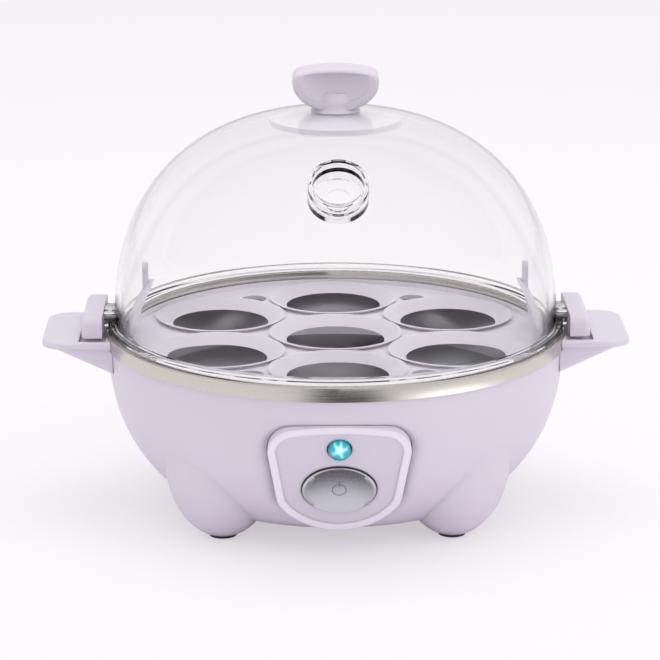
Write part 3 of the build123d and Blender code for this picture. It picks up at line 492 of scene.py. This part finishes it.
def blasted_metal(name, colour, roughness, grit_mm=0.18, dished=False):
    """Metal with an even, fine-blasted satin face; dished adds the button's hollow and its mark."""
    material, tree, shader = new_finish(name)
    place = add_node(tree, "ShaderNodeTexCoord")
    grit = add_node(tree, "ShaderNodeTexNoise", {"Vector": place.outputs["Object"],
                                                "Scale": 1 / (grit_mm * MM), "Detail": 3.0})
    gloss = add_node(tree, "ShaderNodeMapRange", {0: grit.outputs[0], 1: NOISE_LOW, 2: NOISE_HIGH,
                                                  3: roughness + GRIT_GLOSS[0], 4: roughness + GRIT_GLOSS[1]})
    bump = add_node(tree, "ShaderNodeBump", {"Strength": GRIT_BUMP, "Distance": GRIT_DEPTH,
                                             "Height": grit.outputs[0]})
    if dished:
        away = add_node(tree, "ShaderNodeVectorMath", {0: place.outputs["Object"], 1: BUTTON_MIDDLE},
                        operation="DISTANCE")
        square = add_node(tree, "ShaderNodeMath", {0: away.outputs["Value"], 1: 2.0}, operation="POWER")
        rise = add_node(tree, "ShaderNodeMath", {0: square.outputs[0], 1: 0.5 / DISH_RADIUS},
                        operation="MULTIPLY")
        dish = add_node(tree, "ShaderNodeBump", {"Strength": 1.0, "Distance": 1.0, "Height": rise.outputs[0]})
        tree.links.new(dish.outputs[0], bump.inputs["Normal"])
        parts = add_node(tree, "ShaderNodeSeparateXYZ", {0: place.outputs["Object"]})
        ring = add_node(tree, "ShaderNodeMath", {0: away.outputs["Value"], 1: MARK_RADIUS, 2: MARK_HALF},
                        operation="COMPARE")
        offset = add_node(tree, "ShaderNodeVectorMath", {0: place.outputs["Object"], 1: BUTTON_MIDDLE},
                          operation="SUBTRACT")
        upward = add_node(tree, "ShaderNodeVectorMath", {0: offset.outputs[0], 1: PANEL_UP},
                          operation="DOT_PRODUCT")
        beside = add_node(tree, "ShaderNodeMath", {0: parts.outputs["X"], 1: 0.0, 2: MARK_HALF},
                          operation="COMPARE")
        tall = add_node(tree, "ShaderNodeMath", {0: upward.outputs["Value"], 1: MARK_RADIUS, 2: MARK_STROKE},
                        operation="COMPARE")
        stroke = add_node(tree, "ShaderNodeMath", {0: beside.outputs[0], 1: tall.outputs[0]},
                          operation="MULTIPLY")
        mark = add_node(tree, "ShaderNodeMath", {0: ring.outputs[0], 1: stroke.outputs[0]},
                        operation="MAXIMUM")
        inked = add_node(tree, "ShaderNodeMath", {0: mark.outputs[0], 1: MARK_DEPTH}, operation="MULTIPLY")
        face = add_node(tree, "ShaderNodeMix",
                        {0: inked.outputs[0], 6: linear(colour), 7: linear(MARK_COLOUR)},
                        data_type="RGBA")
        tree.links.new(face.outputs[2], shader.inputs["Base Color"])
    else:
        shader.inputs["Base Color"].default_value = linear(colour)
    tree.links.new(gloss.outputs[0], shader.inputs["Roughness"])
    tree.links.new(bump.outputs[0], shader.inputs["Normal"])
    shader.inputs["Metallic"].default_value = 1.0
    return material


button_metal = blasted_metal("satin_button_metal", "#cfd0d6", 0.26, dished=True)
spreader_metal = blasted_metal("cast_aluminium", "#b9b9bc", 0.5, 0.6)
screw_metal = blasted_metal("zinc_plated_steel", "#b4b4b2", 0.35)
print("satin metals made")

# %% [markdown]
# ## Rubber, dark plastic and the jewel
# The feet are soft dark rubber with a matt skin. The inner fittings are glass-filled nylon, nearly black.
# The indicator is a faceted acrylic jewel lit from behind: bright cyan near its middle and deep teal
# towards its edge, so its colour follows the distance from a point on its front, a little above the
# middle. A pale star is painted at that point, a painted highlight for the glint of the facets, whose
# rays follow the angle about it.

# %% Rubber, dark plastic and jewel
foot_rubber = moulded_plastic("moulded_foot_rubber", "#3b3840", 0.75, 0.5, 0.03, 0.08)
dark_nylon = moulded_plastic("moulded_dark_nylon", "#232326", 0.55, 0.6, 0.02, 0.06)
gasket_silicone = moulded_plastic("moulded_silicone", "#8d8b92", 0.6, 0.8, 0.01, 0.04)

JEWEL_UP = 12.0 * MM
JEWEL_RADIUS = 3.9 * MM
JEWEL_RISE = 3.6 * MM
JEWEL_BRIGHT = "#b8ffff"
JEWEL_MIDTONE = "#0fa6b3"
JEWEL_DEEP = "#056a79"
JEWEL_CORE = 0.1
JEWEL_EDGE = 1.15
STAR_OUT = 0.8
STAR_UP = 0.5
STAR_NEAR = 0.15
STAR_FAR = 0.95
# The star is a painted highlight: its colour and strength paint the glint of the facets.
STAR_HIGHLIGHT_COLOUR = "#e4ffff"
STAR_RAYS = 5
STAR_HIGHLIGHT_STRENGTH = 0.80
STAR_SHARPNESS = 6.0
JEWEL_GLOW = 0.55
jewel_middle = PANEL_MIDDLE + PANEL_UP * JEWEL_UP
jewel_star = jewel_middle + PANEL_OUT * STAR_OUT * JEWEL_RISE + PANEL_UP * STAR_UP * JEWEL_RADIUS


def lit_jewel(name, middle, radius):
    """Acrylic lit from behind, brightest at the star, which is a painted highlight."""
    material, tree, shader = new_finish(name)
    place = add_node(tree, "ShaderNodeTexCoord")
    offset = add_node(tree, "ShaderNodeVectorMath", {0: place.outputs["Object"], 1: middle},
                      operation="SUBTRACT")
    away = add_node(tree, "ShaderNodeVectorMath", {0: offset.outputs[0]}, operation="LENGTH")
    share = add_node(tree, "ShaderNodeMapRange", {0: away.outputs["Value"], 1: JEWEL_CORE * radius,
                                                  2: JEWEL_EDGE * radius})
    ramp = add_node(tree, "ShaderNodeValToRGB", {0: share.outputs[0]})
    ramp.color_ramp.elements[0].color = linear(JEWEL_BRIGHT)
    ramp.color_ramp.elements[0].position = 0.0
    ramp.color_ramp.elements[1].color = linear(JEWEL_DEEP)
    ramp.color_ramp.elements[1].position = 1.0
    middle_stop = ramp.color_ramp.elements.new(0.35)
    middle_stop.color = linear(JEWEL_MIDTONE)
    parts = add_node(tree, "ShaderNodeSeparateXYZ", {0: offset.outputs[0]})
    upward = add_node(tree, "ShaderNodeVectorMath", {0: offset.outputs[0], 1: PANEL_UP},
                      operation="DOT_PRODUCT")
    angle = add_node(tree, "ShaderNodeMath", {0: upward.outputs["Value"], 1: parts.outputs["X"]},
                     operation="ARCTAN2")
    # The star's rays: a painted highlight for the glint of the facets.
    turns = add_node(tree, "ShaderNodeMath", {0: angle.outputs[0], 1: STAR_RAYS / 2}, operation="MULTIPLY")
    wave = add_node(tree, "ShaderNodeMath", {0: turns.outputs[0]}, operation="COSINE")
    ray = add_node(tree, "ShaderNodeMath", {0: wave.outputs[0], 1: STAR_SHARPNESS}, operation="POWER")
    fade = add_node(tree, "ShaderNodeMapRange", {0: away.outputs["Value"], 1: STAR_NEAR * radius,
                                                 2: STAR_FAR * radius, 3: STAR_HIGHLIGHT_STRENGTH, 4: 0.0})
    painted_star_highlight = add_node(tree, "ShaderNodeMath", {0: ray.outputs[0], 1: fade.outputs[0]}, operation="MULTIPLY")
    lit = add_node(tree, "ShaderNodeMix", {0: painted_star_highlight.outputs[0], 6: ramp.outputs[0], 7: linear(STAR_HIGHLIGHT_COLOUR)},
                   data_type="RGBA")
    tree.links.new(lit.outputs[2], shader.inputs["Base Color"])
    tree.links.new(lit.outputs[2], shader.inputs["Emission Color"])
    shader.inputs["Emission Strength"].default_value = JEWEL_GLOW
    shader.inputs["Roughness"].default_value = 0.12
    shader.inputs["Coat Weight"].default_value = 0.5
    return material


jewel_teal = lit_jewel("lit_teal_acrylic", jewel_star, JEWEL_RADIUS)
print("rubber, nylon and jewel made")

# %% [markdown]
# ## Skins of the CAD pieces
# A CAD node arrives as loose triangles, which shade as flat facets. Each node but the dome and the lens is
# copied, the copy's doubles are merged, and it is shaded smooth except across real edges. The copy then
# stands for the node and rides on the same body.

# %% Smooth skins
SMOOTH_UNDER = math.radians(32)
SKIN_MERGE = 0.001 * MM


def skin_of(node, finish, body):
    """A merged and smooth-shaded copy of a CAD node, standing for it."""
    source = frame["nodes"][node]
    start_clean()
    copy = bpy.data.objects.new(node + "_skin", source.data.copy())
    bpy.context.scene.collection.objects.link(copy)
    pick(copy)
    bpy.ops.object.mode_set(mode="EDIT")
    bpy.ops.mesh.select_all(action="SELECT")
    bpy.ops.mesh.customdata_custom_splitnormals_clear()
    bpy.ops.mesh.remove_doubles(threshold=SKIN_MERGE)
    bpy.ops.object.mode_set(mode="OBJECT")
    bpy.ops.object.shade_smooth_by_angle(angle=SMOOTH_UNDER)
    settle(copy, node + "_skin", finish, body)
    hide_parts(node)
    return copy


FINISH_OF = {
    "body_shell": base_abs, "rim_band": rim_steel, "heating_plate": plate_steel,
    "plate_gasket": gasket_silicone, "heat_spreader": spreader_metal, "heating_element": screw_metal,
    "heat_shield": plate_steel, "thermostat": spreader_metal, "thermal_fuse": dark_nylon,
    "fuse_clip": screw_metal, "control_panel": panel_abs, "button_spring": screw_metal,
    "switch_body": dark_nylon, "switch_bracket": dark_nylon, "indicator_lamp": dark_nylon,
    "bottom_cover": lavender_abs, "control_board": dark_nylon, "buzzer": dark_nylon,
    "terminal_block": dark_nylon, "cord_gland": dark_nylon, "foot_pad_1": foot_rubber,
    "foot_pad_2": foot_rubber, "foot_pad_3": foot_rubber, "foot_pad_4": foot_rubber,
    "base_screws": screw_metal, "plate_sleeves": screw_metal, "cover_screws": screw_metal,
    "power_button": button_metal, "lid_knob": lavender_abs, "knob_disc": disc_abs,
    "knob_screw": screw_metal, "lid_grip_right": lavender_abs, "lid_grip_left": lavender_abs,
    "grip_pin_right": screw_metal, "grip_pin_left": screw_metal, "tray": tray_abs,
}
body_of_node = {n: b for b, names in frame["record"]["behaviour"]["bodies"].items() for n in names}
skins = {node: skin_of(node, finish, body_of_node[node]) for node, finish in FINISH_OF.items()}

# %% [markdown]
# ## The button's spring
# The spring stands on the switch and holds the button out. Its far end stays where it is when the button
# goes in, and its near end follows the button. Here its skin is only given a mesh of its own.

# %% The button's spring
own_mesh(skins["button_spring"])

# %% [markdown]
# ## The jewel and the painted shade round the button
# The jewel is cut with flat facets, so it is a sphere of few faces, flattened and left flat-shaded. The
# button runs in a narrow gap, and a thin dark ring round its edge fills most of it: painted shade, a
# dark piece that stands for the shadow in the gap. The ring is a torus stretched to the button's ellipse.
# Both are turned to lie on the panel.

# %% The jewel and the painted shade round the button
RING_RADIUS = 10.8 * MM
RING_WIDTH = 12.22 * MM
RING_HEIGHT = 9.42 * MM
RING_WIRE = 0.24 * MM
RING_STEPS = 96
WIRE_STEPS = 12
JEWEL_SIDES = 12
JEWEL_ROWS = 10
on_panel = Matrix((Vector((1, 0, 0)), PANEL_UP, PANEL_OUT)).transposed().to_4x4()
start_clean()
bpy.ops.mesh.primitive_uv_sphere_add(segments=JEWEL_SIDES, ring_count=JEWEL_ROWS, radius=1 * MM)
jewel = bpy.context.object
jewel.matrix_world = Matrix.Translation(jewel_middle) @ on_panel @ Matrix.Diagonal((
    JEWEL_RADIUS / MM, JEWEL_RADIUS / MM, JEWEL_RISE / MM, 1))
bpy.ops.object.shade_flat()
settle(jewel, "faceted_jewel", jewel_teal, "base")
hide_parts("indicator_lens")
start_clean()
# The dark ring is painted shade: a dark piece that stands for the shadow in the gap round the button.
bpy.ops.mesh.primitive_torus_add(major_radius=RING_RADIUS, minor_radius=RING_WIRE,
                                 major_segments=RING_STEPS, minor_segments=WIRE_STEPS)
ring = bpy.context.object
ring.matrix_world = Matrix.Translation(BUTTON_MIDDLE + PANEL_OUT * RING_WIRE) @ on_panel @ Matrix.Diagonal((
    RING_WIDTH / RING_RADIUS, RING_HEIGHT / RING_RADIUS, 1, 1))
bpy.ops.object.shade_smooth()
settle(ring, "painted_button_gap_shade", dark_nylon, "button")

# %% [markdown]
# ## The dome
# The dome is the largest thing in the picture, and a faceted one would bend the light in bands. Its
# profile is a superellipse, a little fuller at the shoulders than a half circle. It could be a sphere
# scaled to size, but the shoulders, the flange and the wall's two skins come out right in one go when the
# profile is drawn by extruding a point and spun round the axis.

# %% Spinning a profile
SPIN_STEPS = 144
SPIN_MERGE = 0.002 * MM


def spin_profile(points, steps=SPIN_STEPS):
    """Draw a closed profile of radius and height by extruding a point, then spin it round Z."""
    start_clean()
    bpy.ops.mesh.primitive_plane_add(size=1 * MM, location=(0, 0, 0))
    piece = bpy.context.object
    bpy.ops.object.mode_set(mode="EDIT")
    bpy.ops.mesh.merge(type="CENTER")
    first = points[0]
    bpy.ops.transform.translate(value=(first[0], 0, first[1]))
    last = first
    for radius, height in points[1:]:
        bpy.ops.mesh.extrude_region_move(
            TRANSFORM_OT_translate={"value": (radius - last[0], 0, height - last[1])})
        last = (radius, height)
    bpy.ops.mesh.select_all(action="SELECT")
    bpy.ops.mesh.spin(steps=steps, angle=2 * math.pi, center=(0, 0, 0), axis=(0, 0, 1), use_auto_merge=True)
    bpy.ops.mesh.select_all(action="SELECT")
    bpy.ops.mesh.remove_doubles(threshold=SPIN_MERGE)
    bpy.ops.mesh.normals_make_consistent(inside=False)
    bpy.ops.object.mode_set(mode="OBJECT")
    return piece


# %% The dome's profile
DOME_RADIUS = 76.7 * MM
DOME_HEIGHT = 74.0 * MM
DOME_POWER = 2.35
DOME_WALL = 2.0 * MM
DOME_LOW = 65.3 * MM
FLANGE_RADIUS = 79.0 * MM
FLANGE_LOW = 64.3 * MM
FLANGE_HIGH = 66.3 * MM
SKIRT_RADIUS = 74.2 * MM
SKIRT_WALL = 1.2 * MM
SKIRT_LOW = 62.1 * MM
SKIN_POINTS = 44
FLANGE_SOFT_LOW = 0.3 * MM
FLANGE_SOFT_HIGH = 0.5 * MM
FILLET_OUT = 0.5 * MM
FILLET_NEAR = 0.1 * MM
FILLET_RISE = 0.3 * MM
FILLET_TOP = 0.8 * MM
STEP_TOP = 0.2 * MM
STEP_LOW = 1.0 * MM


def dome_skin(inset):
    """Points of the dome's superellipse from its foot to its top, drawn inwards by an inset."""
    points = []
    for i in range(SKIN_POINTS):
        angle = math.pi / 2 * i / (SKIN_POINTS - 1)
        radius = (DOME_RADIUS - inset) * max(0.0, math.cos(angle)) ** (2 / DOME_POWER)
        height = DOME_LOW + (DOME_HEIGHT - inset) * math.sin(angle) ** (2 / DOME_POWER)
        points.append((radius if i < SKIN_POINTS - 1 else 0.0, height))
    return points


outer = [p for p in dome_skin(0) if p[1] > FLANGE_HIGH + FILLET_TOP]
inner = [p for p in dome_skin(DOME_WALL) if p[1] > FLANGE_HIGH]
profile = [
    (SKIRT_RADIUS - SKIRT_WALL, SKIRT_LOW), (SKIRT_RADIUS, SKIRT_LOW), (SKIRT_RADIUS, FLANGE_LOW),
    (FLANGE_RADIUS - FLANGE_SOFT_LOW, FLANGE_LOW), (FLANGE_RADIUS, FLANGE_LOW + FLANGE_SOFT_LOW),
    (FLANGE_RADIUS, FLANGE_HIGH - FLANGE_SOFT_HIGH), (FLANGE_RADIUS - FLANGE_SOFT_HIGH, FLANGE_HIGH),
    (DOME_RADIUS + FILLET_OUT, FLANGE_HIGH), (DOME_RADIUS + FILLET_NEAR, FLANGE_HIGH + FILLET_RISE),
] + outer + inner[::-1] + [
    (DOME_RADIUS - DOME_WALL - FILLET_NEAR, FLANGE_HIGH - STEP_TOP),
    (SKIRT_RADIUS - SKIRT_WALL, FLANGE_HIGH - STEP_LOW), (SKIRT_RADIUS - SKIRT_WALL, SKIRT_LOW),
]
dome = spin_profile(profile)
print("dome drawn from", len(profile), "points")

# %% [markdown]
# ## The steam vent
# The vent is a short open cup let into the front of the dome, its axis square to the skin. It is a spun
# cup of its own, turned to lean forward, and joined to the dome with two booleans: one cuts a round plug
# out of the dome where the cup goes, and the other adds the cup's wall and floor.

# %% The steam vent
VENT_LEAN = math.radians(39.0)
VENT_RADIUS = 10.0 * MM
VENT_WALL = 1.5 * MM
VENT_RISE = 3.0 * MM
VENT_DEPTH = 8.6 * MM
VENT_FLOOR = 1.2 * MM
VENT_HOLE = 4.25 * MM
VENT_LIP = 0.4 * MM
VENT_STEPS = 72
PLUG_SMALLER = 0.5 * MM
PLUG_LENGTH = 30 * MM


def vent_place():
    """Where the dome's normal leans forward by the vent's angle."""
    slope = (math.tan(VENT_LEAN) * (DOME_RADIUS / DOME_HEIGHT) ** DOME_POWER) ** (1 / (DOME_POWER - 1))
    share = 1 + (slope * DOME_HEIGHT / DOME_RADIUS) ** DOME_POWER
    rise = DOME_HEIGHT / share ** (1 / DOME_POWER)
    return Matrix.Translation((0, -slope * rise, DOME_LOW + rise)) @ Matrix.Rotation(VENT_LEAN, 4, "X")


vent_low = VENT_RISE - VENT_DEPTH
cup_profile = [
    (VENT_HOLE, vent_low - VENT_FLOOR), (VENT_RADIUS - VENT_LIP, vent_low - VENT_FLOOR),
    (VENT_RADIUS, vent_low - VENT_FLOOR + VENT_LIP), (VENT_RADIUS, VENT_RISE - VENT_LIP),
    (VENT_RADIUS - VENT_LIP, VENT_RISE), (VENT_RADIUS - VENT_WALL + VENT_LIP, VENT_RISE),
    (VENT_RADIUS - VENT_WALL, VENT_RISE - VENT_LIP), (VENT_RADIUS - VENT_WALL, vent_low + VENT_LIP),
    (VENT_RADIUS - VENT_WALL - VENT_LIP, vent_low), (VENT_HOLE, vent_low), (VENT_HOLE, vent_low - VENT_FLOOR),
]
cup = spin_profile(cup_profile, VENT_STEPS)
cup.matrix_world = vent_place()
start_clean()
bpy.ops.mesh.primitive_cylinder_add(vertices=VENT_STEPS, radius=VENT_RADIUS - PLUG_SMALLER, depth=PLUG_LENGTH)
plug = bpy.context.object
plug.matrix_world = vent_place()
bpy.context.view_layer.update()
apply_modifier(dome, "BOOLEAN", operation="DIFFERENCE", object=plug, solver="EXACT")
apply_modifier(dome, "BOOLEAN", operation="UNION", object=cup, solver="EXACT")
bpy.data.objects.remove(plug)
bpy.data.objects.remove(cup)
pick(dome)
bpy.ops.object.shade_smooth_by_angle(angle=SMOOTH_UNDER)
settle(dome, "clear_dome", clear_dome, "lid")
dome.visible_shadow = False
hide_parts("lid_dome")

# %% [markdown]
# ## The lugs
# On each side, a stack of three clear ribs joins the dome's flange to its grip. Each rib starts as a
# cube, scaled to size and bevelled, because a moulded edge is never sharp and catches a line of light.

# %% The lugs
LUG_INNER = 76.4 * MM
LUG_OUTER = 80.2 * MM
LUG_HALF = 6.0 * MM
LUG_RIB = 1.3 * MM
LUG_RIBS = 3
LUG_RISE = 5.6 * MM
LUG_SOFT = 0.35 * MM
for side, sign in (("right", 1), ("left", -1)):
    ribs = []
    for i in range(LUG_RIBS):
        level = FLANGE_LOW + LUG_RIB / 2 + i * (LUG_RISE - LUG_RIB) / (LUG_RIBS - 1)
        start_clean()
        bpy.ops.mesh.primitive_cube_add(size=1, location=(sign * (LUG_INNER + LUG_OUTER) / 2, 0, level))
        rib = bpy.context.object
        rib.scale = (LUG_OUTER - LUG_INNER, 2 * LUG_HALF, LUG_RIB)
        bpy.ops.object.transform_apply(location=True, rotation=True, scale=True)
        bpy.ops.object.mode_set(mode="EDIT")
        bpy.ops.mesh.select_all(action="SELECT")
        bpy.ops.mesh.bevel(offset=LUG_SOFT, segments=3)
        bpy.ops.object.mode_set(mode="OBJECT")
        ribs.append(rib)
    start_clean()
    for rib in ribs:
        rib.select_set(True)
    bpy.context.view_layer.objects.active = ribs[0]
    bpy.ops.object.join()
    lug = bpy.context.object
    bpy.ops.object.shade_smooth_by_angle(angle=SMOOTH_UNDER)
    settle(lug, "lug_" + side, clear_dome, "lid")
